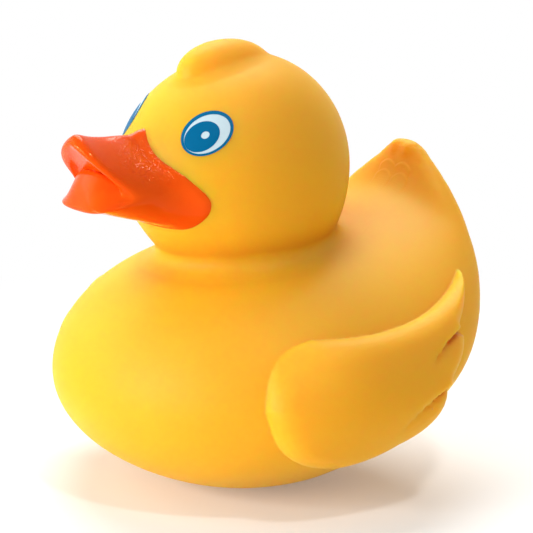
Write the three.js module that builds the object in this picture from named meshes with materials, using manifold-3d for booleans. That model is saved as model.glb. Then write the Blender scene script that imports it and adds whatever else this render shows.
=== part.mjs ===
// A bath duck moulded in one piece of soft vinyl: a hollow shell with a round vent in its flat base.
// Millimetres, +Z up. The bill points along -Y and the duck's left side is +X. The origin is the
// middle of the duck's footprint box, on the surface that it stands on.
import * as THREE from "three";
import { mergeVertices } from "three/addons/utils/BufferGeometryUtils.js";
import Module from "manifold-3d";

const wasm = await Module();
wasm.setup();

// Shell
const WALL = 2.2;
const VENT_DIAMETER = 8;
const VENT_FORWARD = 3;
const VINYL_YELLOW = 0xf3c02c;
const VINYL_ROUGHNESS = 0.42;

// Body: an egg on its side, measured from its waist, the level where it is widest
const BODY_WIDTH = 75;
const BREAST_LENGTH = 39;
const RUMP_LENGTH = 42;
const WAIST_HEIGHT = 20;
const BACK_HEIGHT = 24;
const KEEL_DEPTH = 21.2;
const KEEL_START = -4;
const KEEL_LIFT = 19;

// Tail: the rump swept up and a little forwards, with a small pointed tip
const TAIL_START = -6;
const TAIL_RISE = 26;
const TAIL_SWEEP = 2.8;
const TAIL_LEAN = 5.6;
const TIP_RISE = 9;
const TIP_LEAN = 1.5;
const TIP_SWEEP = 12;
const TAIL_SOLID_LENGTH = 8;

// Head: a pear with a long face, above and a little ahead of the waist's middle
const HEAD_WIDTH = 37;
const FACE_LENGTH = 25;
const NAPE_LENGTH = 18.3;
const CROWN_HEIGHT = 20;
const CHIN_DEPTH = 22.7;
const CHIN_TUCK = 6;
const HEAD_FORWARD = 4.4;
const HEAD_LIFT = 13.3;

// Tuft: a tongue of down lying along the crown
const TUFT_LENGTH = 19.6;
const TUFT_WIDTH = 10;
const TUFT_THICKNESS = 10.6;
const TUFT_FORWARD = 5.4;
const TUFT_SINK = 2.3;

// Bill: an arched upper lip and a flat lower lip round an open mouth, flaring into the face
const BILL_LENGTH = 13.4;
const BILL_WIDTH = 18.4;
const BILL_ARCH = 9.8;
const BILL_DIP = 1.1;
const BILL_LEVEL = 0.4;
const CHEEK_WIDTH = 25;
const CHEEK_LEVEL = -2.4;
const CHEEK_ARCH = 11;
const CHEEK_DEPTH = 6;
const CHEEK_SINK = 6;
const CHEEK_SWEEP = 2;
const LIP_DEPTH = 3.8;
const LIP_THICKNESS = 2.2;
const LIP_SWEEP = 5.5;
const LIP_ROUND = 1.1;
const LIP_RIDGE = 1.4;
const MOUTH_DEPTH = 8;

// Wings: raised pads on both sides, each with three feathers at its rear edge. The front, the heel, where
// the lower edge turns up, and the first number of each point are along Y. The rest are heights.
const WING_RAISE = 2;
const WING_FRONT = -22.5;
const WING_HEEL = -17;
const WING_TOP = 32.5;
const WING_BOTTOM = 12.5;
const FEATHER_GAP = 1.2;
const FEATHERS = [
  { tip: [24, 38.5], root: [9, 26] },
  { tip: [19, 28.5], root: [3, 18.5] },
  { tip: [13.5, 22], root: [1, 15] },
];

// Facets round and along each rounded form
const FACETS = { body: [44, 32], head: [32, 24], tuft: [20, 12], bill: [26, 27], cavity: [28, 20] };
const VENT_FACETS = 32;
const OUTLINE_STEPS = 10;
// A point of the unit sphere that lies nearer to its axis than this is a pole
const POLE_RADIUS = 1e-6;

const headCentre = new THREE.Vector3(0, -HEAD_FORWARD, WAIST_HEIGHT + BACK_HEIGHT + HEAD_LIFT);

// A closed geometry as a solid that can be joined and cut.
function toSolid(geometry) {
  const bare = geometry.clone();
  bare.deleteAttribute("normal");
  bare.deleteAttribute("uv");
  const merged = mergeVertices(bare);
  return new wasm.Manifold(
    new wasm.Mesh({
      numProp: 3,
      vertProperties: merged.attributes.position.array,
      triVerts: new Uint32Array(merged.index.array),
    }),
  );
}

// A rounded form: a unit sphere with its poles fore and aft, each of its points moved by shape.
function toForm(shape, [around, along]) {
  const geometry = new THREE.SphereGeometry(1, around, along);
  geometry.deleteAttribute("normal");
  geometry.deleteAttribute("uv");
  const merged = mergeVertices(geometry);
  const points = merged.attributes.position;
  const unit = new THREE.Vector3();
  for (let i = 0; i < points.count; i++) {
    const moved = shape(unit.fromBufferAttribute(points, i));
    points.setXYZ(i, moved.x, moved.y, moved.z);
  }
  return toSolid(merged);
}

// The body with its tail, grown outwards all round and with its rump cut short by a length.
function bodyShape(grow, rumpCut) {
  return (unit) => {
    const reach = unit.y < 0 ? BREAST_LENGTH : RUMP_LENGTH - rumpCut;
    const along = unit.y * (reach + grow);
    const toTail = THREE.MathUtils.clamp((along - TAIL_START) / (RUMP_LENGTH - TAIL_START), 0, 1);
    const climb = toTail ** TAIL_SWEEP;
    const toRump = THREE.MathUtils.clamp((along - KEEL_START) / (RUMP_LENGTH - KEEL_START), 0, 1);
    const keel = KEEL_DEPTH - KEEL_LIFT * toRump ** 2;
    const height = unit.z < 0 ? keel : BACK_HEIGHT;
    const point = toTail ** TIP_SWEEP;
    return new THREE.Vector3(
      unit.x * (BODY_WIDTH / 2 + grow),
      along - TAIL_LEAN * climb - TIP_LEAN * point,
      WAIST_HEIGHT + unit.z * (height + grow) + TAIL_RISE * climb + TIP_RISE * point,
    );
  };
}

function headShape(grow) {
  return (unit) => {
    const below = Math.max(-unit.z, 0);
    const face = FACE_LENGTH - CHIN_TUCK * below;
    const reach = unit.y < 0 ? face : NAPE_LENGTH;
    const height = unit.z < 0 ? CHIN_DEPTH : CROWN_HEIGHT;
    const fromCentre = new THREE.Vector3(
      unit.x * (HEAD_WIDTH / 2 + grow),
      unit.y * (reach + grow),
      unit.z * (height + grow),
    );
    return fromCentre.add(headCentre);
  };
}

function tuftShape(unit) {
  const fromCentre = new THREE.Vector3(
    (unit.x * TUFT_WIDTH) / 2,
    (unit.y * TUFT_LENGTH) / 2 - TUFT_FORWARD,
    (unit.z * TUFT_THICKNESS) / 2 + CROWN_HEIGHT - TUFT_SINK,
  );
  return fromCentre.add(headCentre);
}

// The bill is drawn through sections from inside the head to its rim, then back into the mouth.
// Each section is an arch over a shallow keel: half is its half width at the mouth's corners, level
// their height, and peak, above 1, draws the arch up into a ridge. Sweep sets the corners back.
function billShape() {
  const face = headCentre.y - FACE_LENGTH;
  const rim = face - BILL_LENGTH;
  const lip = rim + LIP_ROUND;
  const throat = rim + MOUTH_DEPTH;
  const mouth = {
    half: BILL_WIDTH / 2,
    level: BILL_LEVEL,
    arch: BILL_ARCH,
    keel: LIP_DEPTH,
    sweep: LIP_SWEEP,
    peak: LIP_RIDGE,
  };
  const cheek = {
    half: CHEEK_WIDTH / 2,
    level: CHEEK_LEVEL,
    arch: CHEEK_ARCH,
    keel: CHEEK_DEPTH,
    sweep: 0,
    peak: LIP_RIDGE,
  };
  const between = Object.fromEntries(
    Object.keys(mouth).map((key) => [key, (mouth[key] + cheek[key]) / 2]),
  );
  // The same section with its wall moved in by a depth.
  const within = (section, depth) => ({
    ...section,
    half: section.half - depth,
    arch: section.arch - depth,
    keel: section.keel - depth,
  });
  const slit = within(mouth, LIP_THICKNESS);
  const sections = [
    { ...cheek, y: face + 2 * CHEEK_SINK },
    { ...cheek, y: face + CHEEK_SINK },
    { ...between, y: face, arch: CHEEK_ARCH, keel: CHEEK_DEPTH, sweep: CHEEK_SWEEP },
    { ...mouth, y: (face + rim) / 2, arch: BILL_ARCH - BILL_DIP, keel: between.keel, sweep: between.sweep },
    { ...mouth, y: lip },
    { ...within(mouth, LIP_THICKNESS / 3), y: rim },
    { ...slit, y: lip },
    { ...within(slit, LIP_ROUND / 2), y: (rim + throat) / 2, arch: BILL_ARCH / 2, sweep: LIP_SWEEP / 2 },
    { ...within(slit, LIP_ROUND), y: throat, arch: LIP_ROUND / 2, keel: LIP_ROUND / 2, sweep: LIP_ROUND },
  ];
  const track = (key) => new THREE.SplineCurve(sections.map((s, i) => new THREE.Vector2(i, s[key])));
  const tracks = Object.fromEntries(Object.keys(sections[0]).map((key) => [key, track(key)]));
  return (unit) => {
    const forward = Math.acos(THREE.MathUtils.clamp(unit.y, -1, 1)) / Math.PI;
    const at = (key) => tracks[key].getPoint(forward).y;
    const level = headCentre.z + at("level");
    const radius = Math.hypot(unit.x, unit.z);
    if (radius < POLE_RADIUS) return new THREE.Vector3(0, at("y"), level);
    const across = Math.sign(unit.x) * Math.abs(unit.x / radius) ** at("peak");
    const up = Math.sign(unit.z) * Math.abs(unit.z / radius) ** at("peak");
    return new THREE.Vector3(
      across * at("half"),
      at("y") + at("sweep") * across ** 2,
      level + up * (up > 0 ? at("arch") : at("keel")),
    );
  };
}

// A wing's outline seen from the side: round in front, with the feathers parted at the rear.
function wingOutline() {
  const [first, second, third] = FEATHERS;
  const waist = (WING_TOP + WING_BOTTOM) / 2;
  const shape = new THREE.Shape();
  shape.moveTo(0, WING_TOP);
  shape.quadraticCurveTo(first.root[0] + FEATHER_GAP, WING_TOP, ...first.tip);
  for (const [upper, lower] of [[first, second], [second, third]]) {
    shape.quadraticCurveTo(upper.tip[0], lower.tip[1] + FEATHER_GAP, ...upper.root);
    shape.lineTo(upper.root[0], upper.root[1] - FEATHER_GAP);
    shape.lineTo(...lower.tip);
  }
  shape.quadraticCurveTo(third.tip[0], third.root[1], ...third.root);
  shape.quadraticCurveTo(WING_FRONT / 2, WING_BOTTOM, WING_HEEL, WING_BOTTOM);
  shape.quadraticCurveTo(WING_FRONT, WING_BOTTOM, WING_FRONT, waist);
  shape.quadraticCurveTo(WING_FRONT, WING_TOP, 0, WING_TOP);
  return shape;
}

// Both wings: the outline carried right across the duck, kept where it lies in the grown body.
function makeWings() {
  const pad = new THREE.ExtrudeGeometry(wingOutline(), {
    depth: 2 * BODY_WIDTH,
    curveSegments: OUTLINE_STEPS,
    bevelEnabled: false,
  });
  // The outline's X and Y become the duck's Y and Z, and its depth runs along X.
  const turn = new THREE.Matrix4().makeBasis(
    new THREE.Vector3(0, 1, 0),
    new THREE.Vector3(0, 0, 1),
    new THREE.Vector3(1, 0, 0),
  );
  pad.translate(0, 0, -BODY_WIDTH).applyMatrix4(turn);
  return toSolid(pad).intersect(toForm(bodyShape(WING_RAISE, 0), FACETS.body));
}

// Everything under the flat base, and the round vent through it.
function makeUnderside() {
  const size = 4 * BODY_WIDTH;
  const below = new THREE.BoxGeometry(size, size, size).translate(0, 0, -size / 2);
  const vent = new THREE.CylinderGeometry(VENT_DIAMETER / 2, VENT_DIAMETER / 2, WAIST_HEIGHT, VENT_FACETS);
  vent.rotateX(Math.PI / 2).translate(0, -VENT_FORWARD, 0);
  return toSolid(below).add(toSolid(vent));
}

function makeDuck() {
  const outside = toForm(bodyShape(0, 0), FACETS.body)
    .add(makeWings())
    .add(toForm(headShape(0), FACETS.head))
    .add(toForm(tuftShape, FACETS.tuft))
    .add(toForm(billShape(), FACETS.bill));
  const hollowBody = toForm(bodyShape(-WALL, TAIL_SOLID_LENGTH), FACETS.cavity);
  const hollowHead = toForm(headShape(-WALL), FACETS.cavity);
  const floor = new THREE.BoxGeometry(2 * BODY_WIDTH, 4 * BODY_WIDTH, 2 * WALL);
  const cavity = hollowBody.add(hollowHead).subtract(toSolid(floor));
  return outside.subtract(cavity).subtract(makeUnderside());
}

// A solid as a geometry, moved so that its box stands centred on the origin.
function toGeometry(solid) {
  const mesh = solid.getMesh();
  const geometry = new THREE.BufferGeometry();
  geometry.setAttribute("position", new THREE.BufferAttribute(mesh.vertProperties, mesh.numProp));
  geometry.setIndex(new THREE.BufferAttribute(mesh.triVerts, 1));
  geometry.computeBoundingBox();
  const middle = geometry.boundingBox.getCenter(new THREE.Vector3());
  geometry.translate(-middle.x, -middle.y, -geometry.boundingBox.min.z);
  geometry.computeVertexNormals();
  return geometry;
}

const vinyl = new THREE.MeshStandardMaterial({ color: VINYL_YELLOW, roughness: VINYL_ROUGHNESS, metalness: 0 });
const duckBody = new THREE.Mesh(toGeometry(makeDuck()), vinyl);
duckBody.name = "duck_body";

const duck = new THREE.Group();
duck.add(duckBody);

export default duck;
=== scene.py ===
"""A bath duck moulded in one piece of soft yellow vinyl, with a sprayed orange bill and pad-printed eyes.

Lengths are in metres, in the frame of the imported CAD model: +Z is up, the bill points along -Y and the
duck's left side is +X. Places along the duck are measured from the middle of the body's waist.
"""

import math
from collections import namedtuple

import bmesh
import bpy
import numpy as np
from bpy.props import FloatProperty, FloatVectorProperty, PointerProperty
from mathutils import Matrix, Vector


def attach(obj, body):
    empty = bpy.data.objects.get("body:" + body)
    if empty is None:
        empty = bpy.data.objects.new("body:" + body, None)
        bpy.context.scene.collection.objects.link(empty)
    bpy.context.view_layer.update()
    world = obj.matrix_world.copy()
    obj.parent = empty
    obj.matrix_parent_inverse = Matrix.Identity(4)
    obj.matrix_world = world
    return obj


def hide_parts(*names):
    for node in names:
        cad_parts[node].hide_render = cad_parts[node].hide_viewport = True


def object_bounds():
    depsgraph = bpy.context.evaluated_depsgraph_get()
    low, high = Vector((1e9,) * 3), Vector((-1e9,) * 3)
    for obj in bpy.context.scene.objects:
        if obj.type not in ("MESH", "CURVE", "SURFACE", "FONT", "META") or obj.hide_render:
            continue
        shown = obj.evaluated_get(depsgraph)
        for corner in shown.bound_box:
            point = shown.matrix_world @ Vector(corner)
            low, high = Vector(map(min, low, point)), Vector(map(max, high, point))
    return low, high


bl_info = {
    "name": "Bath Duck",
    "version": (1, 0, 0),
    "blender": (4, 5, 0),
    "location": "View3D > Sidebar > Bath Duck",
    "description": "Models a moulded vinyl bath duck with a painted bill and printed eyes",
    "category": "Add Mesh",
}

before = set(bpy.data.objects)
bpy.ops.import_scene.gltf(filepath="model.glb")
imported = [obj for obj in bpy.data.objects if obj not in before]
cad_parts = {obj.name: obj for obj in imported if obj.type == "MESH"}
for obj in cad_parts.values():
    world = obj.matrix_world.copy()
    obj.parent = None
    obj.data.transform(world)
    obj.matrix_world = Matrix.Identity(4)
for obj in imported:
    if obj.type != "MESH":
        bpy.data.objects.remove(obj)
CAD_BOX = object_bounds()

MM = 0.001
BODY = "root"
NODE = "duck_body"

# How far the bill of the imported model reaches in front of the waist, and where that puts the waist, in mm.
BILL_REACH = 42.8
WAIST_Y = round(CAD_BOX[0][1] / MM + BILL_REACH, 3)

# Segments round and along the spheres that the moulding starts from.
BODY_GRID = (128, 96)
HEAD_GRID = (96, 72)
FAN_GRID = (96, 72)
TUFT_GRID = (64, 48)
QUILL_GRID = (32, 24)

# The forms are fused on a grid of this step, and a few smoothing passes take the steps away.
FUSE_STEP = 0.7 * MM
FUSE_PASSES = 4

# Smoothing passes that round every crease, the crease under the head, and the fan of the tail.
CREASE_PASSES = 110
NECK_PASSES = 120
FAN_PASSES = 60

# Where smoothing fades in, as distances in mm: above the middle of the chin, above and behind the middle of
# the fan, and above the middle of the quills.
NECK_BAND = (0, -6)
FAN_UP_BAND = (-10, -4)
FAN_ALONG_BAND = (-12, -8)
QUILL_BAND = (1, -1)

# Points nearer to the middle of the duck, or higher, never belong to a wing.
FLANK_INNER = 12 * MM
FLANK_TOP = 44 * MM

# How far outside and inside a wing's edge the skin is meshed more finely, and how far round its feathers.
WING_MARGIN_OUT = 1.5 * MM
WING_MARGIN_IN = 5 * MM
FEATHER_MARGIN = 1.2 * MM
FEATHER_START = 5 * MM
FEATHER_TRACE = 0.02

# How far round the scales the tail is meshed more finely: above the quills, below the scales and in front.
SCALE_MARGIN_ABOVE = 2 * MM
SCALE_MARGIN_BELOW = 4 * MM
SCALE_MARGIN_FRONT = 10 * MM

# How full a wing's rounded edge is, and how late the rounding narrows towards the feathers.
EDGE_FULLNESS = 0.7
ROUNDING_BEND = 1.5

# Share of a groove's length over which it fades out past its mouth, the share at which the slope under it
# would end, and the least part of that slope.
GROOVE_MOUTH = 0.25
GROOVE_ROOT = 1.15
GROOVE_LEAST = 0.2

# Share of a scale's half width over which its edge runs out at each side.
SCALE_END = 0.2

# Radius and height in mm of the rings round the hollow, above the vent.
HOLLOW_RINGS = ((9, 2.7), (16, 8), (20, 16), (18, 26), (9, 32))

# Points round each ring of the bill, counted from the left side over the top.
RING_POINTS = 32

# The paint's edge on the face in mm, across and above the middle of the head, from the peak to the chin.
CHEEK_EDGE = (
    (0, 9.4), (2.2, 7.4), (5.7, 4.7), (10, 2.3), (13, -1.7),
    (11.9, -5.4), (8.4, -8), (4.4, -8.3), (0, -8.2),
)
CHEEK_MIDDLE = (0, -1)

# How far in mm each ring at the root is drawn in from that edge, and how far it stands out of the face.
CHEEK_STEPS = ((0, -2.5), (0, -0.2), (0.25, 0.3), (0.9, 0.6))

# Where rings lie between the root and the first section, as shares of the way.
FLARE_SHARES = (0.2, 0.42, 0.7)

# Sections of the bill in mm, from the cheeks to the lips and back into the mouth. Each has its place along
# the duck, half its width, the level of its corners, its height above and depth below them, how far and how
# suddenly the corners sweep back, how much they are pinched, and how far the lower lip is set back.
Section = namedtuple("Section", "y half level arch jaw sweep bend pinch set_back")
BILL_SECTIONS = (
    Section(-35.2, 9.1, -0.9, 9.6, 4.2, 5.0, 5, 0, 0),
    Section(-38.9, 9.1, -0.9, 10.1, 3.1, 5.4, 5, 0.04, 0.4),
    Section(-41.0, 9.1, -0.8, 10.9, 3.0, 6.2, 5, 0.1, 0.9),
    Section(-42.1, 8.8, -0.8, 10.1, 3.0, 7.0, 5, 0.12, 1.3),
    Section(-42.5, 7.8, -0.5, 8.8, 2.5, 6.4, 3.5, 0.08, 1.5),
    Section(-41.9, 6.9, 0.0, 7.6, 1.3, 5.5, 3, 0, 1.4),
    Section(-40.4, 6.2, 0.6, 6.0, -0.6, 4.0, 2.5, 0, 0.8),
    Section(-38.0, 5.6, 1.0, 3.4, -2.8, 1.8, 2, 0, 0),
)
PINCH_BEND = 6
BILL_LEVELS = 3

# The patch of skin that an eye is printed on: its reach, and how far it must face the print.
PATCH_REACH = 9 * MM
PATCH_FACING = 0.3
PATCH_LEVELS = 2

# How far a printed film reaches into the skin, and the angle that makes its rim crisp.
FILM_ROOT = 0.02 * MM
FILM_RIM = math.radians(50)

# The camera: degrees round from the bill and up, distance, height of its aim, and its lens and sensor in mm.
CAMERA_SIDE = (52, 13.5)
CAMERA_DISTANCE = 0.6126
CAMERA_AIM = 36.04 * MM
CAMERA_LENS = 229.6
CAMERA_SENSOR = 36
CAMERA_CLIP = 0.01

# The picture's width, and how far its middle is shifted across and up, in pixels.
PICTURE = 533
PICTURE_SHIFT = (1.5, 10)

# Each lamp's degrees round from the bill and up, its width in metres and its watts.
Lamp = namedtuple("Lamp", "name azimuth elevation size watts")
LAMPS = (
    Lamp("key_softbox", -5, 9, 0.6, 8.0),
    Lamp("front_softbox", -45, 35, 0.6, 1.2),
    Lamp("back_softbox", -124, 60, 0.6, 5.9),
    Lamp("gloss_lamp", 78, 59, 0.09, 1.3),
    Lamp("spark_lamp", -10, 23, 0.05, 0.4),
)
LAMP_DISTANCE = 0.8

# The stage: the strength of the light from all round and of the white backdrop, half the floor's width, the
# floor's own glow, and the distances in metres between which it fades into the backdrop.
WHITE = (1, 1, 1, 1)
ROOM_LIGHT = 0.25
BACKDROP_LIGHT = 1.0
FLOOR_HALF = 6
FLOOR_GLOW = 0.18
FLOOR_FADE = (0.06, 0.16)


def srgb(code):
    """The linear colour of an sRGB hex code."""
    parts = [int(code[i : i + 2], 16) / 255 for i in (0, 2, 4)]
    return tuple(c / 12.92 if c <= 0.04045 else ((c + 0.055) / 1.055) ** 2.4 for c in parts)


def length(name, millimetres, description):
    """A property that holds a length."""
    return FloatProperty(name=name, description=description, default=millimetres * MM, unit="LENGTH")


def place(name, millimetres, description):
    """A property that holds a point along the duck and up, or across, along and up."""
    point = [value * MM for value in millimetres]
    return FloatVectorProperty(
        name=name, description=description, default=point, size=len(point), unit="LENGTH"
    )


def power(name, value, description):
    """A property that holds the exponent of a curve."""
    return FloatProperty(name=name, description=description, default=value, min=0.1)


def portion(name, value, description):
    """A property that holds a share between nothing and all."""
    return FloatProperty(
        name=name, description=description, default=value, min=0, max=1, subtype="FACTOR"
    )


def colour(name, code, description):
    """A property that holds a surface colour."""
    return FloatVectorProperty(
        name=name, description=description, default=srgb(code), size=3, subtype="COLOR", min=0, max=1
    )


class BodySizes(bpy.types.PropertyGroup):
    """The egg of the body, its keel and its upswept tail."""

    waist_y: length("Waist", WAIST_Y, "Where the middle of the waist lies along the duck")
    waist_z: length("Waist height", 20, "Height of the level where the body is widest")
    width: length("Width", 75, "Width of the body at its waist")
    breast: length("Breast", 39, "Reach of the body in front of its middle")
    rump: length("Rump", 43.6, "Reach of the body behind its middle")
    back: length("Back", 24.4, "Height of the back above the waist")
    keel: length("Keel", 21.2, "Depth of the hull below the waist")
    keel_start: length("Keel start", -4, "Where the hull begins to rise towards the tail")
    keel_lift: length("Keel lift", 19, "Rise of the hull at the tail")
    flank_start: length("Flank start", -24, "Where the hull's flanks begin to rise")
    flank_lift: length("Flank lift", 9, "Rise of the hull's flanks behind the breast")
    tail_start: length("Tail start", -6, "Where the body begins to sweep up")
    tail_rise: length("Tail rise", 26, "Height that the sweep gains at the tail")
    tail_sweep: power("Tail sweep", 2.8, "How late the tail sweeps up")
    tail_lean: length("Tail lean", 5.6, "How far the swept tail leans forwards")
    tip_rise: length("Tip rise", 8, "Height of the pointed tip above the swept tail")
    tip_lean: length("Tip lean", 2.6, "How far the tip leans forwards")
    tip_sweep: power("Tip sweep", 12, "How late the tip rises")
    wall: length("Wall", 2.2, "Thickness of the moulded wall")
    vent: length("Vent", 8, "Diameter of the round vent in the base")
    vent_y: length("Vent place", -3, "Where the vent lies along the duck")


class TailSizes(bpy.types.PropertyGroup):
    """The fan of the tail, the two quills that end it and the scales of down on its front."""

    fan: place("Fan", (0, 33.3, 46.6), "Middle of the fan")
    fan_size: place("Fan size", (31, 6.6, 21.6), "Width, length and height of the fan")
    fan_curl: length("Fan curl", 3.4, "How far the fan's sides curl forwards")
    fan_taper: portion("Fan taper", 0.5, "How much the fan narrows upwards")
    quill: place("Quill", (1.7, 32.8, 55), "Middle of the left quill")
    quill_size: place("Quill size", (3.8, 3.8, 4.8), "Width, length and height of a quill")
    upper_scale: place("Upper scale", (2.0, 53.4), "Tip of the left upper scale, across and up")
    lower_scale: place("Lower scale", (2.3, 51.6), "Tip of the left lower scale, across and up")
    scale_width: length("Scale width", 3.9, "Width of a scale")
    scale_sag: length("Scale sag", 0.9, "How far a scale's sides lie below its tip")
    scale_lift: length("Scale lift", 0.16, "How far a scale's edge stands out")
    scale_edge: length("Scale edge", 0.5, "Width of a scale's crisp edge")
    scale_slope: length("Scale slope", 1.4, "How far below its edge a scale has sunk back")


class HeadSizes(bpy.types.PropertyGroup):
    """The pear of the head and the tuft of down on its crown."""

    centre: place("Centre", (0, -4.4, 57.3), "Middle of the head")
    width: length("Width", 37, "Width of the head")
    face: length("Face", 25, "Reach of the face in front of the middle")
    nape: length("Nape", 18.6, "Reach of the nape behind the middle")
    crown: length("Crown", 20.1, "Height of the crown above the middle")
    chin: length("Chin", 22.7, "Depth of the chin below the middle")
    chin_tuck: length("Chin tuck", 6, "How far the chin is drawn in under the face")
    tuft_centre: place("Tuft", (0, -4.8, 17.7), "Middle of the tuft, from the middle of the head")
    tuft_size: place("Tuft size", (10, 19.6, 10.6), "Width, length and thickness of the tuft")


class BillSizes(bpy.types.PropertyGroup):
    """How the open bill is drawn from the cheeks to the lips."""

    ridge: power("Ridge", 1.45, "How sharply the upper bill is ridged along its top and its corners")
    jaw_ridge: power("Jaw ridge", 0.88, "How sharply the lower bill is ridged along its keel")
    flare: power("Flare", 2, "How quickly the bill widens to the paint's edge on the cheeks")
    peak: power("Peak", 3, "How much further the root stands out of the face at its peak")


class WingSizes(bpy.types.PropertyGroup):
    """The raised wings, as points along the duck and up, seen from the side."""

    lift: length("Lift", 3.3, "How far a wing stands out of the body")
    crest: place("Crest", (-20, 31), "Front top corner, where the wing melts into the breast")
    crest_reach: length("Crest reach", 7, "How far round that corner the wing lies lower")
    crest_fade: portion("Crest fade", 0.7, "Share of the lift that is lost at that corner")
    front_round: length("Front rounding", 4.2, "Width of the rounded edge in front")
    rear_round: length("Rear rounding", 2.5, "Width of the rounded edge at the feathers")
    groove_depth: length("Groove depth", 2.1, "Drop from the edge of one feather to the next")
    edge_width: length("Edge width", 0.45, "Width of the crisp edge of a feather")
    edge_slope: length("Edge slope", 1.7, "How far under an edge the next feather has risen again")
    edge_bow: length("Edge bow", 0.5, "How far a feather's crisp edge bows down")
    corner_cut: portion("Corner cut", 0.2, "How far the two front corners are rounded off")
    crook: place("Crook", (-23.3, 21.5), "Front of the wing")
    shoulder: place("Shoulder", (-13, 32.4), "Front end of the top edge")
    top_bend: place("Top bend", (12, 30.6), "Where the top edge bends up towards the first tip")
    tip_1: place("First tip", (24, 38.6), "Tip of the upper feather")
    bow_1: length("First bow", 2, "How far the rear edge of the upper feather bows out")
    part_1: place("First parting", (17, 30.2), "Where the upper and the middle feather part")
    root_1: place("First root", (5.8, 25.7), "Inner end of the groove under the upper feather")
    tip_2: place("Second tip", (18.4, 28.8), "Tip of the middle feather")
    bow_2: length("Second bow", 1, "How far the rear edge of the middle feather bows out")
    part_2: place("Second parting", (12.3, 22.6), "Where the middle and the lower feather part")
    root_2: place("Second root", (-1.0, 17.9), "Inner end of the groove under the middle feather")
    tip_3: place("Third tip", (12.1, 20.9), "Tip of the lower feather")
    bow_3: place("Third bow", (2, 2.5), "How far the lower edge of the lower feather bows out")
    belly: place("Belly", (1.6, 12.8), "Lower edge of the wing under its middle")
    heel: place("Heel", (-10, 9.8), "Lowest point of the wing")


class EyeSizes(bpy.types.PropertyGroup):
    """The printed eyes. The right eye mirrors the left one, a little nearer to the bill."""

    left: place("Left eye", (10.77, -21.05, 66.62), "Middle of the left eye")
    right: place("Right eye", (-8.7, -22.5, 67.4), "Middle of the right eye")
    width: length("Width", 9.74, "Length of the eye's oval")
    height: length("Height", 7.38, "Breadth of the eye's oval")
    tilt: FloatProperty(
        name="Tilt",
        description="Rise of the oval towards the nape",
        default=math.radians(35),
        subtype="ANGLE",
    )
    ring: length("Ring", 0.54, "Breadth of the ring round the eye")
    white_shift: place("White place", (-0.09, -0.11), "Middle of the white, along the oval and across it")
    iris: length("Iris", 6.6, "Length of the iris")
    iris_height: length("Iris breadth", 4.95, "Breadth of the iris")
    iris_shift: place("Iris place", (-1.1, -0.05), "Middle of the iris, along the oval and across it")
    pupil: length("Pupil", 1.55, "Length of the white glint in the iris")
    pupil_height: length("Pupil breadth", 1.24, "Breadth of the white glint")
    pupil_shift: place("Pupil place", (-0.5, -0.2), "Middle of the glint, along the oval and across it")
    film: length("Film", 0.04, "Thickness of one printed film")


class Finishes(bpy.types.PropertyGroup):
    """The colours of the vinyl, the paint, the inks and the stage."""

    vinyl: colour("Vinyl", "E8AE22", "Yellow of the moulded vinyl")
    vinyl_warm: colour("Warm vinyl", "E6A61E", "Yellow where the pigment lies thicker")
    # Painted shade: the deep orange mixed into the creases, standing in for their shade.
    vinyl_painted_crease_shade: colour("Deep vinyl", "BC4C04", "Orange of the light that is caught in the creases")
    bill: colour("Bill paint", "E44A08", "Orange sprayed on the bill")
    bill_thin: colour("Thin bill paint", "E6520A", "Orange where the sprayed coat is thin")
    eye_blue: colour("Eye blue", "00608C", "Blue ink of the iris and the ring")
    eye_white: colour("Eye white", "BED2DA", "White ink of the eye")
    floor: colour("Floor", "E6E6E4", "Pale floor")


def new_piece(name, form):
    """A mesh object made of a bmesh, which is freed."""
    mesh = bpy.data.meshes.new(name)
    form.to_mesh(mesh)
    form.free()
    piece = bpy.data.objects.new(name, mesh)
    bpy.context.scene.collection.objects.link(piece)
    return piece


def opened(piece):
    """A bmesh of a piece's mesh."""
    form = bmesh.new()
    form.from_mesh(piece.data)
    return form


def put_back(form, piece):
    """Gives a piece the mesh of a bmesh, which is freed."""
    form.to_mesh(piece.data)
    form.free()


def drawn_ring(form, ring):
    """The edges of a new ring, drawn out of a ring of edges."""
    grown = bmesh.ops.extrude_edge_only(form, edges=ring)["geom"]
    return [item for item in grown if isinstance(item, bmesh.types.BMEdge) and item.is_boundary]


def apply_modifiers(piece):
    """Gives a piece the mesh that its modifiers make."""
    shown = piece.evaluated_get(bpy.context.evaluated_depsgraph_get())
    mesh = bpy.data.meshes.new_from_object(shown)
    plain = piece.data
    piece.modifiers.clear()
    piece.data = mesh
    bpy.data.meshes.remove(plain)
    mesh.name = piece.name


def finish_piece(piece, slot, material):
    """Shades a piece smoothly, gives it its material, hangs it on its body and hides the CAD node. Slot: not
    used.
    """
    piece.data.materials.clear()
    piece.data.materials.append(material)
    piece.data.shade_smooth()
    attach(piece, BODY)
    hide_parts(NODE)


def rows(items, key):
    """One vector of each item of a mesh, one to a row."""
    values = np.empty(len(items) * 3, np.float32)
    items.foreach_get(key, values)
    return values.reshape(-1, 3).astype(float)


def points_of(piece):
    """A piece's points."""
    return rows(piece.data.vertices, "co")


def normals_of(piece):
    """The directions in which a piece's points face."""
    return rows(piece.data.vertex_normals, "vector")


def move_points(piece, points):
    """Moves a piece's points to new places."""
    piece.data.vertices.foreach_set("co", points.astype(np.float32).ravel())
    piece.data.update()


def smoothed_points(piece, passes):
    """Where a number of smoothing passes would move a piece's points."""
    smooth = piece.modifiers.new("smooth", "SMOOTH")
    smooth.factor = 0.5
    smooth.iterations = passes
    points = points_of(piece.evaluated_get(bpy.context.evaluated_depsgraph_get()))
    piece.modifiers.clear()
    return points


def fill_creases(piece, passes, wanted=None):
    """Rounds the creases of a moulding: points follow the smoothing only where it moves them outwards."""
    points = points_of(piece)
    shift = smoothed_points(piece, passes) - points
    share = ((shift * normals_of(piece)).sum(axis=1) > 0).astype(float)
    if wanted:
        share *= wanted(points)
    move_points(piece, points + shift * share[:, None])


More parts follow.
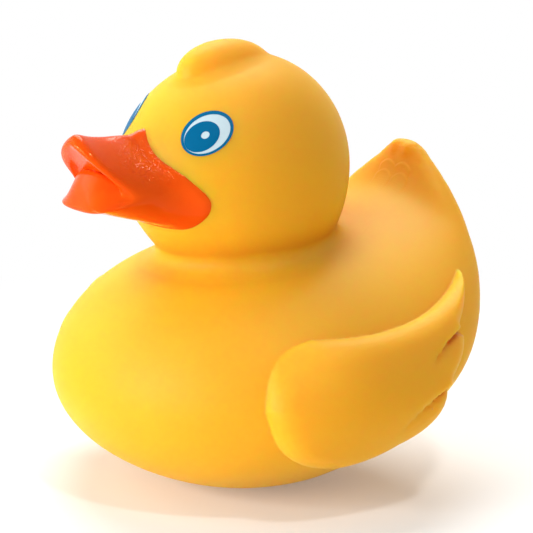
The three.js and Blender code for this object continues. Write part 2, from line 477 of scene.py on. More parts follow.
def soften(piece, passes, wanted):
    """Moves points a share of the way to where a number of smoothing passes would move them."""
    points = points_of(piece)
    smooth = smoothed_points(piece, passes)
    move_points(piece, points + (smooth - points) * wanted(points)[:, None])


def refine(piece, wanted):
    """Cuts each face whose points are all wanted into four."""
    marks = wanted(points_of(piece))
    form = opened(piece)
    faces = [face for face in form.faces if all(marks[vert.index] for vert in face.verts)]
    edges = {edge for face in faces for edge in face.edges}
    bmesh.ops.subdivide_edges(form, edges=list(edges), cuts=1, use_grid_fill=True)
    put_back(form, piece)


def score(form, field):
    """Cuts a form's faces along the line where a field of its points is zero."""
    values = {vert: field(vert.co) for vert in form.verts}
    crossed = [edge for edge in form.edges if values[edge.verts[0]] * values[edge.verts[1]] < 0]
    line = []
    for edge in crossed:
        start, end = edge.verts
        share = values[start] / (values[start] - values[end])
        line.append(bmesh.utils.edge_split(edge, start, share)[1])
    bmesh.ops.connect_verts(form, verts=line)


def joined(forms):
    """One bmesh that holds all the forms, which are freed."""
    whole = bmesh.new()
    for form in forms:
        part = bpy.data.meshes.new("part")
        form.to_mesh(part)
        form.free()
        whole.from_mesh(part)
        bpy.data.meshes.remove(part)
    return whole


def band_share(values, middle, band):
    """Shares that grow from 0 to 1 across a band of distances in mm from a middle."""
    start, end = band
    return np.clip((values - middle - start * MM) / ((end - start) * MM), 0, 1)


def crisp_step(values, width):
    """A smooth step from 0 to 1, of a width, about zero."""
    share = np.clip(values / width + 0.5, 0, 1)
    return share * share * (3 - 2 * share)


def shaped_sphere(shape, grid):
    """A unit sphere with its poles fore and aft, each of its points moved by a shape."""
    around, along = grid
    form = bmesh.new()
    fore_and_aft = Matrix.Rotation(math.pi / 2, 4, "X")
    bmesh.ops.create_uvsphere(form, u_segments=around, v_segments=along, radius=1, matrix=fore_and_aft)
    for vert in form.verts:
        vert.co = shape(vert.co)
    bmesh.ops.recalc_face_normals(form, faces=form.faces)
    return form


def body_shape(size):
    """The body with its tail."""

    def shape(unit):
        along = unit.y * (size.breast if unit.y < 0 else size.rump)
        to_tail = min(max((along - size.tail_start) / (size.rump - size.tail_start), 0), 1)
        to_rump = min(max((along - size.keel_start) / (size.rump - size.keel_start), 0), 1)
        climb = to_tail**size.tail_sweep
        point = to_tail**size.tip_sweep
        height = size.back if unit.z > 0 else size.keel - size.keel_lift * to_rump**2
        if unit.z < 0:
            to_flank = min(max(1 - along / size.flank_start, 0), 1)
            height -= size.flank_lift * unit.x**2 * to_flank
        x = unit.x * size.width / 2
        y = size.waist_y + along - size.tail_lean * climb - size.tip_lean * point
        z = size.waist_z + unit.z * height + size.tail_rise * climb + size.tip_rise * point
        return Vector((x, y, z))

    return shape


def head_shape(size, waist_y):
    """The head without its tuft."""

    def shape(unit):
        reach = size.nape if unit.y > 0 else size.face - size.chin_tuck * max(-unit.z, 0)
        height = size.crown if unit.z > 0 else size.chin
        y = waist_y + size.centre[1] + unit.y * reach
        return Vector((unit.x * size.width / 2, y, size.centre[2] + unit.z * height))

    return shape


def egg_shape(centre, size):
    """A rounded form about a centre."""

    def shape(unit):
        return Vector(middle + part * width / 2 for middle, part, width in zip(centre, unit, size))

    return shape


def fan_shape(size, waist_y):
    """The fan of the tail, which narrows upwards and curls forwards at its sides."""
    width, thickness, height = size.fan_size

    def shape(unit):
        across = unit.x * (1 - size.fan_taper * unit.z)
        y = waist_y + size.fan[1] + unit.y * thickness / 2 - size.fan_curl * across**2
        return Vector((across * width / 2, y, size.fan[2] + unit.z * height / 2))

    return shape


def curve_points(start, bend, end, steps=10):
    """Points of a curve from start to end, without its end, that is drawn towards a bend."""
    shares = np.arange(steps)[:, None] / steps
    start, bend, end = (np.array(point) for point in (start, bend, end))
    return (1 - shares) ** 2 * start + 2 * shares * (1 - shares) * bend + shares**2 * end


def wing_outline(size):
    """A wing's outline seen from the side, as points along the duck and up."""
    names = ("crook", "shoulder", "tip_1", "part_1", "tip_2", "part_2", "tip_3", "belly", "heel")
    crook, shoulder, tip_1, part_1, tip_2, part_2, tip_3, belly, heel = (
        np.array(getattr(size, name)) for name in names
    )

    def middle(start, end, bow=0):
        return (start + end) / 2 + (bow, 0)

    def rounded_corner(start, end, corner):
        return np.array(corner) * (1 - size.corner_cut) + middle(start, end) * size.corner_cut

    under_tip_3 = ((tip_3[0] + belly[0]) / 2 + size.bow_3[0], belly[1] + size.bow_3[1])
    return np.concatenate(
        [
            curve_points(crook, rounded_corner(crook, shoulder, (crook[0], shoulder[1])), shoulder),
            curve_points(shoulder, size.top_bend, tip_1),
            curve_points(tip_1, middle(tip_1, part_1, size.bow_1), part_1),
            curve_points(part_1, middle(part_1, tip_2), tip_2, 2),
            curve_points(tip_2, middle(tip_2, part_2, size.bow_2), part_2),
            curve_points(part_2, middle(part_2, tip_3), tip_3, 2),
            curve_points(tip_3, under_tip_3, belly),
            curve_points(belly, (middle(belly, heel)[0], heel[1]), heel),
            curve_points(heel, rounded_corner(heel, crook, (crook[0], heel[1])), crook),
        ]
    )


def depth_inside(points, outline):
    """How far points lie inside a closed outline, below zero outside it."""
    runs = np.roll(outline, -1, axis=0) - outline
    nearest = np.full(len(points), np.inf)
    inside = np.zeros(len(points), bool)
    for start, run in zip(outline, runs):
        offset = points - start
        share = np.clip(offset @ run / (run @ run), 0, 1)
        nearest = np.minimum(nearest, np.linalg.norm(offset - share[:, None] * run, axis=1))
        spans = (points[:, 1] >= start[1]) != (points[:, 1] >= start[1] + run[1])
        with np.errstate(divide="ignore", invalid="ignore"):
            crossing = start[0] + run[0] * (points[:, 1] - start[1]) / run[1]
        inside ^= spans & (points[:, 0] < crossing)
    return np.where(inside, nearest, -nearest)


def wing_depth(points, outline, waist_y):
    """How far points lie inside a wing's outline, seen from the side. Off the flanks they lie far outside."""
    flank = (np.abs(points[:, 0]) > FLANK_INNER) & (points[:, 2] < FLANK_TOP)
    depth = np.full(len(points), -1.0)
    depth[flank] = depth_inside(points[flank, 1:] - (waist_y, 0), outline)
    return depth


def feather_drop(side, size):
    """How far points lie below the crisp lower edges of the feathers, from 1 just under an edge to 0."""
    drop = np.zeros(len(side))
    for mouth, root in ((size.part_1, size.root_1), (size.part_2, size.root_2)):
        run = np.array(root) - mouth
        reach = np.linalg.norm(run)
        offset = side - mouth
        share = offset @ run / reach**2
        below = (offset[:, 1] * run[0] - offset[:, 0] * run[1]) / reach
        below += size.edge_bow * 4 * share * (1 - share)
        fade = np.sqrt(np.clip(1 - share, 0, 1)) * np.clip(1 + share / GROOVE_MOUTH, 0, 1)
        slope = size.edge_slope * np.clip(GROOVE_ROOT - share, GROOVE_LEAST, 1)
        risen = np.exp(-np.maximum(below, 0) / slope)
        drop = np.maximum(drop, crisp_step(below, size.edge_width) * fade * risen)
    return drop


def raise_wings(piece, size, waist_y):
    """Stands both wings out of the body with rounded edges, and lays their feathers like shingles."""
    points = points_of(piece)
    side = points[:, 1:] - (waist_y, 0)
    depth = wing_depth(points, wing_outline(size), waist_y)
    to_rear = np.clip((side[:, 0] - size.crook[0]) / (size.tip_1[0] - size.crook[0]), 0, 1)
    rounding = size.front_round + (size.rear_round - size.front_round) * to_rear**ROUNDING_BEND
    share = np.clip(depth / rounding, 0, 1)
    lift = size.lift * (1 - (1 - share) ** 2) ** EDGE_FULLNESS
    from_crest = np.linalg.norm(side - size.crest, axis=1) / size.crest_reach
    lift *= 1 - size.crest_fade * np.exp(-(from_crest**2))
    lift -= feather_drop(side, size) * np.minimum(size.groove_depth, lift)
    move_points(piece, points + normals_of(piece) * lift[:, None])


def lay_scales(piece, size):
    """Raises two rows of two scales on the front of the tail."""
    points = points_of(piece)
    normals = normals_of(piece)
    lift = np.zeros(len(points))
    for across, tip in (size.upper_scale, size.lower_scale):
        aside = (np.abs(points[:, 0]) - across) / (size.scale_width / 2)
        below = tip - size.scale_sag * aside**2 - points[:, 2]
        sunk = np.exp(-np.maximum(below, 0) / size.scale_slope)
        ends = np.clip((1 + SCALE_END - np.abs(aside)) / SCALE_END, 0, 1)
        lift = np.maximum(lift, crisp_step(below, size.scale_edge) * sunk * ends)
    facing_forwards = np.clip(-2 * normals[:, 1], 0, 1)
    move_points(piece, points + normals * (size.scale_lift * lift * facing_forwards)[:, None])


def cut_vent(piece, size):
    """Opens the round vent in the base, through the wall into the hollow body."""
    centre = Vector((0, size.waist_y + size.vent_y, 0))
    radius = size.vent / 2
    form = opened(piece)

    def outside(point):
        return (point - centre).length - radius if point.z < size.wall else radius

    score(form, outside)
    doomed = [face for face in form.faces if outside(face.calc_center_median()) < 0]
    bmesh.ops.delete(form, geom=doomed, context="FACES")
    rim = [edge for edge in form.edges if edge.is_boundary]
    rings = [(radius, size.wall), *((ring * MM, height * MM) for ring, height in HOLLOW_RINGS)]
    for ring, height in rings:
        rim = drawn_ring(form, rim)
        for vert in {vert for edge in rim for vert in edge.verts}:
            spoke = vert.co - centre
            spoke.z = 0
            vert.co = centre + spoke.normalized() * ring
            vert.co.z = height
    bmesh.ops.edgeloop_fill(form, edges=rim)
    put_back(form, piece)


class DUCK_OT_skin(bpy.types.Operator):
    """Moulds the body, the head, the tuft, the wings and the tail as one vinyl skin"""

    bl_idname = "duck.skin"
    bl_label = "Vinyl Skin"

    def execute(self, context):
        scene = context.scene
        body, tail, head, wing = scene.duck_body, scene.duck_tail, scene.duck_head, scene.duck_wing
        waist_y = body.waist_y
        outline = wing_outline(wing)

        def on_neck(points):
            return band_share(points[:, 2], head.centre[2] - head.chin / 2, NECK_BAND)

        def on_fan(points):
            up = band_share(points[:, 2], tail.fan[2], FAN_UP_BAND)
            along = band_share(points[:, 1], waist_y + tail.fan[1], FAN_ALONG_BAND)
            return up * along * band_share(points[:, 2], tail.quill[2], QUILL_BAND)

        def near_scales(points):
            across, along, up = np.abs(points[:, 0]), points[:, 1] - waist_y, points[:, 2]
            above = up > tail.lower_scale[1] - SCALE_MARGIN_BELOW
            below = up < tail.quill[2] + SCALE_MARGIN_ABOVE
            behind = along > tail.quill[1] - SCALE_MARGIN_FRONT
            return above & below & behind & (across < tail.upper_scale[0] + tail.scale_width)

        def near_wing_edge(points):
            depth = wing_depth(points, outline, waist_y)
            return (depth > -WING_MARGIN_OUT) & (depth < WING_MARGIN_IN)

        def near_feathers(points):
            side = points[:, 1:] - (waist_y, 0)
            depth = wing_depth(points, outline, waist_y)
            grooved = (depth > -FEATHER_MARGIN) & (feather_drop(side, wing) > FEATHER_TRACE)
            return grooved | (np.abs(depth) < FEATHER_MARGIN) & (side[:, 0] > FEATHER_START)

        skin = new_piece("duck_skin", joined(self.forms(body, tail, head)))
        fuse = skin.modifiers.new("fuse", "REMESH")
        fuse.mode = "VOXEL"
        fuse.voxel_size = FUSE_STEP
        apply_modifiers(skin)
        move_points(skin, smoothed_points(skin, FUSE_PASSES))
        fill_creases(skin, CREASE_PASSES)
        fill_creases(skin, NECK_PASSES, on_neck)
        soften(skin, FAN_PASSES, on_fan)
        refine(skin, near_scales)
        refine(skin, near_scales)
        lay_scales(skin, tail)
        refine(skin, near_wing_edge)
        refine(skin, near_feathers)
        raise_wings(skin, wing, waist_y)
        points = points_of(skin)
        points[:, 2] = np.maximum(points[:, 2], 0)
        move_points(skin, points)
        cut_vent(skin, body)
        finish_piece(skin, "vinyl", satin_vinyl(scene.duck_finish))
        return {"FINISHED"}

    def forms(self, body, tail, head):
        """The rounded forms that the moulding is fused from."""
        waist = Vector((0, body.waist_y, 0))
        tuft_centre = waist + Vector(head.centre) + Vector(head.tuft_centre)
        forms = [
            shaped_sphere(body_shape(body), BODY_GRID),
            shaped_sphere(head_shape(head, body.waist_y), HEAD_GRID),
            shaped_sphere(egg_shape(tuft_centre, head.tuft_size), TUFT_GRID),
            shaped_sphere(fan_shape(tail, body.waist_y), FAN_GRID),
        ]
        for side in (1, -1):
            quill = waist + Vector((side * tail.quill[0], *tail.quill[1:]))
            forms.append(shaped_sphere(egg_shape(quill, tail.quill_size), QUILL_GRID))
        return forms


def face_y(head, waist_y, x, z):
    """Where the face's surface lies along the duck, at a place across and up."""
    up = (z - head.centre[2]) / (head.crown if z > head.centre[2] else head.chin)
    across = 2 * x / head.width
    out = math.sqrt(max(1 - across**2 - up**2, 0))
    reach = head.face - head.chin_tuck * max(-up, 0)
    return waist_y + head.centre[1] - out * reach


def signed_power(value, exponent):
    """A power of a value's size, with the value's sign."""
    return math.copysign(abs(value) ** exponent, value)


def cheek_edge():
    """The paint's edge as a smooth ring in mm, from the left cheek over the peak and under the chin."""
    mirror = (-1, 1)
    half = np.array(CHEEK_EDGE, float)
    run = np.concatenate([half[1:2] * mirror, half, half[-2:-1] * mirror])
    left = []
    for start in range(len(half) - 1):
        a, b, c, d = run[start : start + 4]
        for share in (0, 0.5):
            bend = 2 * a - 5 * b + 4 * c - d + share * (3 * (b - c) + d - a)
            left.append(b + 0.5 * share * (c - a + share * bend))
    left = np.array([*left, half[-1]])
    around = np.concatenate([left, left[-2:0:-1] * mirror])
    peak = RING_POINTS // 4
    return [around[(peak - step) % RING_POINTS] for step in range(RING_POINTS)]


def cheek_ring(head, bill, waist_y, inset, out):
    """Points round the paint's edge, drawn in by an inset and standing out of the face, both in mm."""
    middle = Vector(CHEEK_MIDDLE)
    points = []
    for across, up in cheek_edge():
        spot = Vector((across, up))
        spot -= (spot - middle).normalized() * inset
        x, z = spot.x * MM, head.centre[2] + spot.y * MM
        proud = max(out, 0) * bill.peak * max(up / CHEEK_EDGE[0][1], 0) ** 2
        points.append(Vector((x, face_y(head, waist_y, x, z) - (out + proud) * MM, z)))
    return points


def section_ring(section, bill, origin):
    """Points round one section of the bill, whose corners are pinched and swept back."""
    points = []
    for step in range(RING_POINTS):
        angle = 2 * math.pi * step / RING_POINTS
        aside, above = math.cos(angle), math.sin(angle)
        ridge, rise = (bill.ridge, section.arch) if above >= 0 else (bill.jaw_ridge, section.jaw)
        across = signed_power(aside, ridge) * (1 - section.pinch * aside**PINCH_BEND) * section.half
        back = section.sweep * abs(aside) ** section.bend + section.set_back * max(-above, 0)
        height = section.level + signed_power(above, ridge) * rise
        points.append(origin + Vector((across, section.y + back, height)) * MM)
    return points


def flared_ring(cheek, section, share, flare):
    """Points a share of the way from the cheeks to a section. The bill narrows quickly at first, but its
    underside is straight."""
    narrowing = 1 - (1 - share) ** flare
    points = []
    for step, (start, end) in enumerate(zip(cheek, section)):
        point = start.lerp(end, share)
        point.x = start.x + (end.x - start.x) * narrowing
        if step < RING_POINTS / 2:
            point.z = start.z + (end.z - start.z) * narrowing
        points.append(point)
    return points


def ring_tube(rings):
    """A closed tube through rings of points."""
    form = bmesh.new()
    bmesh.ops.create_circle(form, cap_ends=True, segments=RING_POINTS, radius=1)
    loop = list(form.verts)
    edges = list(form.edges)
    for vert, point in zip(loop, rings[0]):
        vert.co = point
    for points in rings[1:]:
        edges = drawn_ring(form, edges)
        verts = {vert for edge in edges for vert in edge.verts}
        loop = [
            next(edge.other_vert(vert) for edge in vert.link_edges if edge.other_vert(vert) in verts)
            for vert in loop
        ]
        for vert, point in zip(loop, points):
            vert.co = point
    bmesh.ops.edgeloop_fill(form, edges=edges)
    bmesh.ops.recalc_face_normals(form, faces=form.faces)
    return form


class DUCK_OT_bill(bpy.types.Operator):
    """Draws the open bill from the cheeks to the lips and back into the mouth"""

    bl_idname = "duck.bill"
    bl_label = "Painted Bill"

    def execute(self, context):
        scene = context.scene
        head, bill, waist_y = scene.duck_head, scene.duck_bill, scene.duck_body.waist_y
        origin = Vector((0, waist_y, head.centre[2]))
        cheeks = [cheek_ring(head, bill, waist_y, *step) for step in CHEEK_STEPS]
        sections = [section_ring(section, bill, origin) for section in BILL_SECTIONS]
        flared = [flared_ring(cheeks[-1], sections[0], share, bill.flare) for share in FLARE_SHARES]
        piece = new_piece("bill", ring_tube([*cheeks, *flared, *sections]))
        subdivide = piece.modifiers.new("round", "SUBSURF")
        subdivide.levels = subdivide.render_levels = BILL_LEVELS
        apply_modifiers(piece)
        finish_piece(piece, "bill_paint", sprayed_bill_paint(scene.duck_finish))
        return {"FINISHED"}


# Where an eye lies: its middle, the way it faces and the two axes of its oval.
EyeSpot = namedtuple("EyeSpot", "centre outwards long_axis short_axis")

# One printed film: its height off the skin, the field that is below zero where it lies, and its lines.
Film = namedtuple("Film", "name slot material height inked lines")


def eye_spot(place_of_eye, side, tilt, head, waist_y):
    """Where an eye lies on the head, on the left side (1) or the right one (-1)."""
    centre = Vector((0, waist_y, 0)) + Vector(place_of_eye)
    offset = centre - Vector((0, waist_y + head.centre[1], head.centre[2]))
    outwards = Vector((offset.x / head.width**2 * 4, offset.y / head.face**2, offset.z / head.crown**2))
    outwards.normalize()
    level = Vector((0, 0, 1)).cross(outwards).normalized() * side
    rise = outwards.cross(level) * side
    long_axis = level * math.cos(tilt) + rise * math.sin(tilt)
    short_axis = rise * math.cos(tilt) - level * math.sin(tilt)
    return EyeSpot(centre, outwards, long_axis, short_axis)


def oval(spot, width, height, shift=(0, 0)):
    """A field that is below zero inside an oval on an eye's place."""

    def field(point):
        offset = point - spot.centre
        along = (offset.dot(spot.long_axis) - shift[0]) / (width / 2)
        across = (offset.dot(spot.short_axis) - shift[1]) / (height / 2)
        return math.hypot(along, across) - 1

    return field


def ring_and_iris(whole, inner, iris, pupil):
    """A field that is below zero on the ring round an eye and on its iris, but not on its pupil."""

    def field(point):
        ring = max(whole(point), -inner(point))
        disc = max(iris(point), -pupil(point), whole(point))
        return min(ring, disc)

    return field


def print_film(skin, spot, film):
    """Lifts a film off the skin where the ink lies, cut along its lines."""
    form = opened(skin)
    far = [
        vert
        for vert in form.verts
        if (vert.co - spot.centre).length > PATCH_REACH or vert.normal.dot(spot.outwards) < PATCH_FACING
    ]
    bmesh.ops.delete(form, geom=far, context="VERTS")
    piece = new_piece(film.name, form)
    fine = piece.modifiers.new("fine", "SUBSURF")
    fine.levels = fine.render_levels = PATCH_LEVELS
    apply_modifiers(piece)
    form = opened(piece)
    for line in film.lines:
        score(form, line)
    bare = [face for face in form.faces if film.inked(face.calc_center_median()) > 0]
    bmesh.ops.delete(form, geom=bare, context="FACES")
    form.normal_update()
    for vert in form.verts:
        vert.co += vert.normal * film.height
    put_back(form, piece)
    thicken = piece.modifiers.new("thicken", "SOLIDIFY")
    thicken.thickness = film.height + FILM_ROOT
    thicken.offset = -1
    apply_modifiers(piece)
    finish_piece(piece, film.slot, film.material)
    piece.data.set_sharp_from_angle(angle=FILM_RIM)


class DUCK_OT_eyes(bpy.types.Operator):
    """Prints both eyes on the head: an oval of white ink, then a ring and an iris of blue ink on it"""

    bl_idname = "duck.eyes"
    bl_label = "Printed Eyes"

    def execute(self, context):
        scene = context.scene
        eye, head, waist_y = scene.duck_eye, scene.duck_head, scene.duck_body.waist_y
        skin = bpy.data.objects["duck_skin"]
        white = pad_printed_ink("eye_white_ink", scene.duck_finish.eye_white)
        blue = pad_printed_ink("eye_blue_ink", scene.duck_finish.eye_blue)
        for side, name in ((1, "left"), (-1, "right")):
            spot = eye_spot(getattr(eye, name), side, eye.tilt, head, waist_y)
            whole = oval(spot, eye.width, eye.height)
            inner = oval(spot, eye.width - 2 * eye.ring, eye.height - 2 * eye.ring, eye.white_shift)
            iris = oval(spot, eye.iris, eye.iris_height, eye.iris_shift)
            pupil = oval(spot, eye.pupil, eye.pupil_height, eye.pupil_shift)
            lines = [whole, inner, iris, pupil]
            inked_blue = ring_and_iris(*lines)
            films = (
                Film(f"eye_white_{name}", "eye_print_white", white, eye.film, whole, [whole]),
                Film(f"eye_blue_{name}", "eye_print_blue", blue, 2 * eye.film, inked_blue, lines),
            )
            for film in films:
                print_film(skin, spot, film)
        return {"FINISHED"}


def from_side(azimuth, elevation):
    """A direction out from the duck, in degrees round from the bill to its left side, and up."""
    turn, lift = math.radians(azimuth), math.radians(elevation)
    return Vector((math.sin(turn) * math.cos(lift), -math.cos(turn) * math.cos(lift), math.sin(lift)))


class DUCK_OT_stage(bpy.types.Operator):
    """Sets the pale floor, the soft light and the camera"""

    bl_idname = "duck.stage"
    bl_label = "Stage"

    def execute(self, context):
        scene = context.scene
        form = bmesh.new()
        bmesh.ops.create_grid(form, x_segments=1, y_segments=1, size=FLOOR_HALF)
        floor = new_piece("floor", form)
        floor.data.materials.append(pale_floor(scene.duck_finish))
        aim = Vector((0, scene.duck_body.waist_y, CAMERA_AIM))
        self.place_camera(scene, aim)
        for lamp in LAMPS:
            self.place_lamp(scene, aim, lamp)
        scene.world = studio_world()
        scene.view_settings.view_transform = "Standard"
        return {"FINISHED"}

    def place_camera(self, scene, aim):
        """Looks at the duck from its front left, a little from above."""
        camera = bpy.data.objects.new("camera", bpy.data.cameras.new("camera"))
        scene.collection.objects.link(camera)
        back = from_side(*CAMERA_SIDE)
        camera.location = aim + back * CAMERA_DISTANCE
        camera.rotation_euler = back.to_track_quat("Z", "Y").to_euler()
        camera.data.lens = CAMERA_LENS
        camera.data.sensor_width = CAMERA_SENSOR
        camera.data.shift_x = PICTURE_SHIFT[0] / PICTURE
        camera.data.shift_y = PICTURE_SHIFT[1] / PICTURE
        camera.data.clip_start = CAMERA_CLIP
        scene.camera = camera

    def place_lamp(self, scene, aim, lamp):
        """Points one round lamp at the duck."""
        light = bpy.data.lights.new(lamp.name, "AREA")
        light.shape = "DISK"
        light.size = lamp.size
        light.energy = lamp.watts
        stand = bpy.data.objects.new(lamp.name, light)
        scene.collection.objects.link(stand)
        towards = from_side(lamp.azimuth, lamp.elevation)
        stand.location = aim + towards * LAMP_DISTANCE
        stand.rotation_euler = towards.to_track_quat("Z", "Y").to_euler()


def add_node(owner, kind, inputs=None, **settings):
    """Adds a shader node with its settings. An input is another node's output, or a plain value."""
    tree = owner.node_tree
    node = tree.nodes.new("ShaderNode" + kind)
    for key, value in settings.items():
        setattr(node, key, value)
    for key, value in (inputs or {}).items():
        if isinstance(value, bpy.types.NodeSocket):
            tree.links.new(value, node.inputs[key])
        else:
            node.inputs[key].default_value = value
    return node


def new_material(name):
    """A material whose nodes are still to be added."""
    material = bpy.data.materials.new(name)
    material.use_nodes = True
    material.node_tree.nodes.clear()
    return material


def rgba(value):
    """A colour with full cover."""
    return (*value, 1)


def satin_vinyl(finish):
    """Soft PVC from a rotating mould: a satin skin, light under the surface, faint pigment clouds and painted
    crease shade.
    """
    vinyl = new_material("satin_vinyl")
    spot = add_node(vinyl, "TexCoord").outputs["Object"]
    # Clouds of pigment about 14 mm across.
    clouds = {"Vector": spot, "Scale": 1 / (14 * MM), "Detail": 3, "Roughness": 0.5}
    cloud = add_node(vinyl, "TexNoise", clouds).outputs["Fac"]
    pigments = {"Factor": cloud, "A": rgba(finish.vinyl), "B": rgba(finish.vinyl_warm)}
    pigment = add_node(vinyl, "Mix", pigments, data_type="RGBA").outputs["Result"]
    # Painted shade: ambient occlusion mixes deep orange into the creases, for their shade and bounced light.
    crease = {"Distance": 16 * MM}
    unoccluded = add_node(vinyl, "AmbientOcclusion", crease, samples=12, only_local=True).outputs["AO"]
    occlusion_range = {"Value": unoccluded, "From Min": 0.3, "From Max": 0.8}
    bare = add_node(vinyl, "MapRange", occlusion_range).outputs["Result"]
    crease_shade_mix = {"Factor": bare, "A": rgba(finish.vinyl_painted_crease_shade), "B": pigment}
    crease_shaded_pigment = add_node(vinyl, "Mix", crease_shade_mix, data_type="RGBA").outputs["Result"]
    # The satin grain of the mould, 0.5 mm across.
    grains = {"Vector": spot, "Scale": 1 / (0.5 * MM), "Detail": 2}
    grain = add_node(vinyl, "TexNoise", grains).outputs["Fac"]
    bump = add_node(vinyl, "Bump", {"Height": grain, "Strength": 0.12, "Distance": 0.05 * MM})
    rough = add_node(vinyl, "MapRange", {"Value": cloud, "To Min": 0.46, "To Max": 0.56})
    # Light goes some millimetres into the vinyl, and red goes furthest.
    skin = {
        "Base Color": crease_shaded_pigment,
        "Roughness": rough.outputs["Result"],
        "IOR": 1.53,
        "Specular IOR Level": 0.14,
        "Subsurface Weight": 1.0,
        "Subsurface Radius": (1.0, 0.3, 0.1),
        "Subsurface Scale": 9 * MM,
        "Normal": bump.outputs["Normal"],
    }
    surface = add_node(vinyl, "BsdfPrincipled", skin)
    add_node(vinyl, "OutputMaterial", {"Surface": surface.outputs["BSDF"]})
    return vinyl


def sprayed_bill_paint(finish):
    """Sprayed vinyl paint: a wet-looking coat with orange peel, and wrinkles where it pooled by the root."""
    paint = new_material("sprayed_bill_paint")
    spot = add_node(paint, "TexCoord").outputs["Object"]
    # The coat is uneven in clouds 5 mm across.
    clouds = {"Vector": spot, "Scale": 1 / (5 * MM), "Detail": 3}
    cloud = add_node(paint, "TexNoise", clouds).outputs["Fac"]
    coats = {"Factor": cloud, "A": rgba(finish.bill), "B": rgba(finish.bill_thin)}
    coat = add_node(paint, "Mix", coats, data_type="RGBA").outputs["Result"]
    # Orange peel 0.9 mm across.
    peel = add_node(paint, "TexNoise", {"Vector": spot, "Scale": 1 / (0.9 * MM), "Detail": 2})
    peels = {"Height": peel.outputs["Fac"], "Strength": 0.2, "Distance": 0.06 * MM}
    smooth = add_node(paint, "Bump", peels).outputs["Normal"]
    # Wrinkles 1.3 mm across, within 8 mm of the pool on either side of the bill.
    mirrored = add_node(paint, "VectorMath", {0: spot}, operation="ABSOLUTE").outputs["Vector"]
    pool = {0: mirrored, 1: (6 * MM, 26 * MM, 63 * MM)}
    from_pool = add_node(paint, "VectorMath", pool, operation="DISTANCE").outputs["Value"]
    near = {"Value": from_pool, "From Min": 8 * MM, "From Max": 3 * MM}
    pooled = add_node(paint, "MapRange", near, interpolation_type="SMOOTHSTEP").outputs["Result"]
    folds = {"Vector": spot, "Scale": 1 / (1.3 * MM), "Detail": 3, "Distortion": 1.5}
    wrinkles = add_node(paint, "TexNoise", folds).outputs["Fac"]
    creased = {"Height": wrinkles, "Strength": pooled, "Distance": 0.25 * MM, "Normal": smooth}
    wrinkled = add_node(paint, "Bump", creased).outputs["Normal"]
    # The gloss is orange, as the pigment reaches up to the surface of the coat.
    gloss = {
        "Base Color": coat,
        "Roughness": 0.12,
        "IOR": 1.5,
        "Specular IOR Level": 0.36,
        "Specular Tint": (1, 0.35, 0.1, 1),
        "Subsurface Weight": 0.3,
        "Subsurface Radius": (1.0, 0.3, 0.1),
        "Subsurface Scale": 2 * MM,
        "Normal": wrinkled,
    }
    surface = add_node(paint, "BsdfPrincipled", gloss)
    add_node(paint, "OutputMaterial", {"Surface": surface.outputs["BSDF"]})
    return paint


def pad_printed_ink(name, value):
    """Pad-printed ink: a thin smooth film, a little glossier than the vinyl, with slightly uneven cover."""
    film = new_material(name)
    spot = add_node(film, "TexCoord").outputs["Object"]
    # The cover varies by 7 per cent in specks 0.8 mm across.
    cover = add_node(film, "TexNoise", {"Vector": spot, "Scale": 1 / (0.8 * MM), "Detail": 2})
    thin = [part * 0.93 for part in value]
    shades = {"Factor": cover.outputs["Fac"], "A": rgba(value), "B": rgba(thin)}
    shade = add_node(film, "Mix", shades, data_type="RGBA").outputs["Result"]
    coat = {"Base Color": shade, "Roughness": 0.4, "IOR": 1.5, "Specular IOR Level": 0.06}
    surface = add_node(film, "BsdfPrincipled", coat)
    add_node(film, "OutputMaterial", {"Surface": surface.outputs["BSDF"]})
    return film


def pale_floor(finish):
    """A matt white board that fades into the white backdrop away from the duck."""
    board = new_material("pale_floor")
    spot = add_node(board, "TexCoord").outputs["Object"]
    away = add_node(board, "VectorMath", {0: spot}, operation="LENGTH").outputs["Value"]
    fades = {"Value": away, "From Min": FLOOR_FADE[0], "From Max": FLOOR_FADE[1]}
    fade = add_node(board, "MapRange", fades, interpolation_type="SMOOTHSTEP").outputs["Result"]
    matt = add_node(board, "BsdfDiffuse", {"Color": rgba(finish.floor)})
    glow = add_node(board, "Emission", {"Color": WHITE, "Strength": FLOOR_GLOW})
    lit = add_node(board, "AddShader", {0: matt.outputs[0], 1: glow.outputs[0]})
    white = add_node(board, "Emission", {"Color": WHITE, "Strength": BACKDROP_LIGHT})
    path = add_node(board, "LightPath").outputs
    rays = {0: path["Is Camera Ray"], 1: path["Is Glossy Ray"]}
    seen = add_node(board, "Math", rays, operation="MAXIMUM").outputs[0]
    share = add_node(board, "Math", {0: seen, 1: fade}, operation="MULTIPLY").outputs[0]
    mixed = add_node(board, "MixShader", {0: share, 1: lit.outputs[0], 2: white.outputs[0]})
    add_node(board, "OutputMaterial", {"Surface": mixed.outputs[0]})
    return board


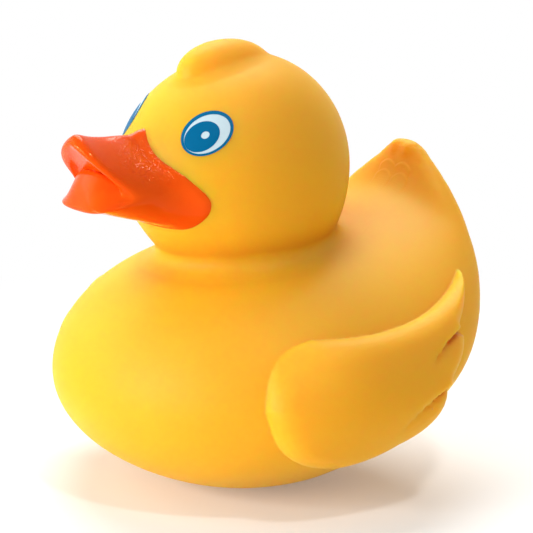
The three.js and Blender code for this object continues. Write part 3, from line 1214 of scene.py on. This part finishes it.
def studio_world():
    """Soft light from all round, and a white backdrop for what is seen directly, mirrored or through."""
    world = bpy.data.worlds.new("studio")
    world.use_nodes = True
    world.node_tree.nodes.clear()
    path = add_node(world, "LightPath").outputs
    rays = {0: path["Is Camera Ray"], 1: path["Is Glossy Ray"]}
    mirrored = add_node(world, "Math", rays, operation="MAXIMUM").outputs[0]
    rays = {0: mirrored, 1: path["Is Transmission Ray"]}
    seen = add_node(world, "Math", rays, operation="MAXIMUM").outputs[0]
    room = add_node(world, "Background", {"Color": WHITE, "Strength": ROOM_LIGHT})
    backdrop = add_node(world, "Background", {"Color": WHITE, "Strength": BACKDROP_LIGHT})
    mixed = add_node(world, "MixShader", {0: seen, 1: room.outputs[0], 2: backdrop.outputs[0]})
    add_node(world, "OutputWorld", {"Surface": mixed.outputs[0]})
    return world


OPERATORS = (DUCK_OT_skin, DUCK_OT_bill, DUCK_OT_eyes, DUCK_OT_stage)
SETTINGS = {
    "duck_body": BodySizes,
    "duck_tail": TailSizes,
    "duck_head": HeadSizes,
    "duck_bill": BillSizes,
    "duck_wing": WingSizes,
    "duck_eye": EyeSizes,
    "duck_finish": Finishes,
}


class DUCK_PT_panel(bpy.types.Panel):
    """The duck's pieces, in the order that they are made"""

    bl_idname = "DUCK_PT_panel"
    bl_label = "Bath Duck"
    bl_space_type = "VIEW_3D"
    bl_region_type = "UI"
    bl_category = "Bath Duck"

    def draw(self, context):
        for operator in OPERATORS:
            self.layout.operator(operator.bl_idname)


def register():
    for group in SETTINGS.values():
        bpy.utils.register_class(group)
    for name, group in SETTINGS.items():
        setattr(bpy.types.Scene, name, PointerProperty(type=group))
    for kind in (*OPERATORS, DUCK_PT_panel):
        bpy.utils.register_class(kind)


def unregister():
    for kind in (DUCK_PT_panel, *reversed(OPERATORS)):
        bpy.utils.unregister_class(kind)
    for name, group in SETTINGS.items():
        delattr(bpy.types.Scene, name)
        bpy.utils.unregister_class(group)


def main():
    register()
    bpy.ops.duck.skin()
    bpy.ops.duck.bill()
    bpy.ops.duck.eyes()
    bpy.ops.duck.stage()


if __name__ == "__main__":
    main()
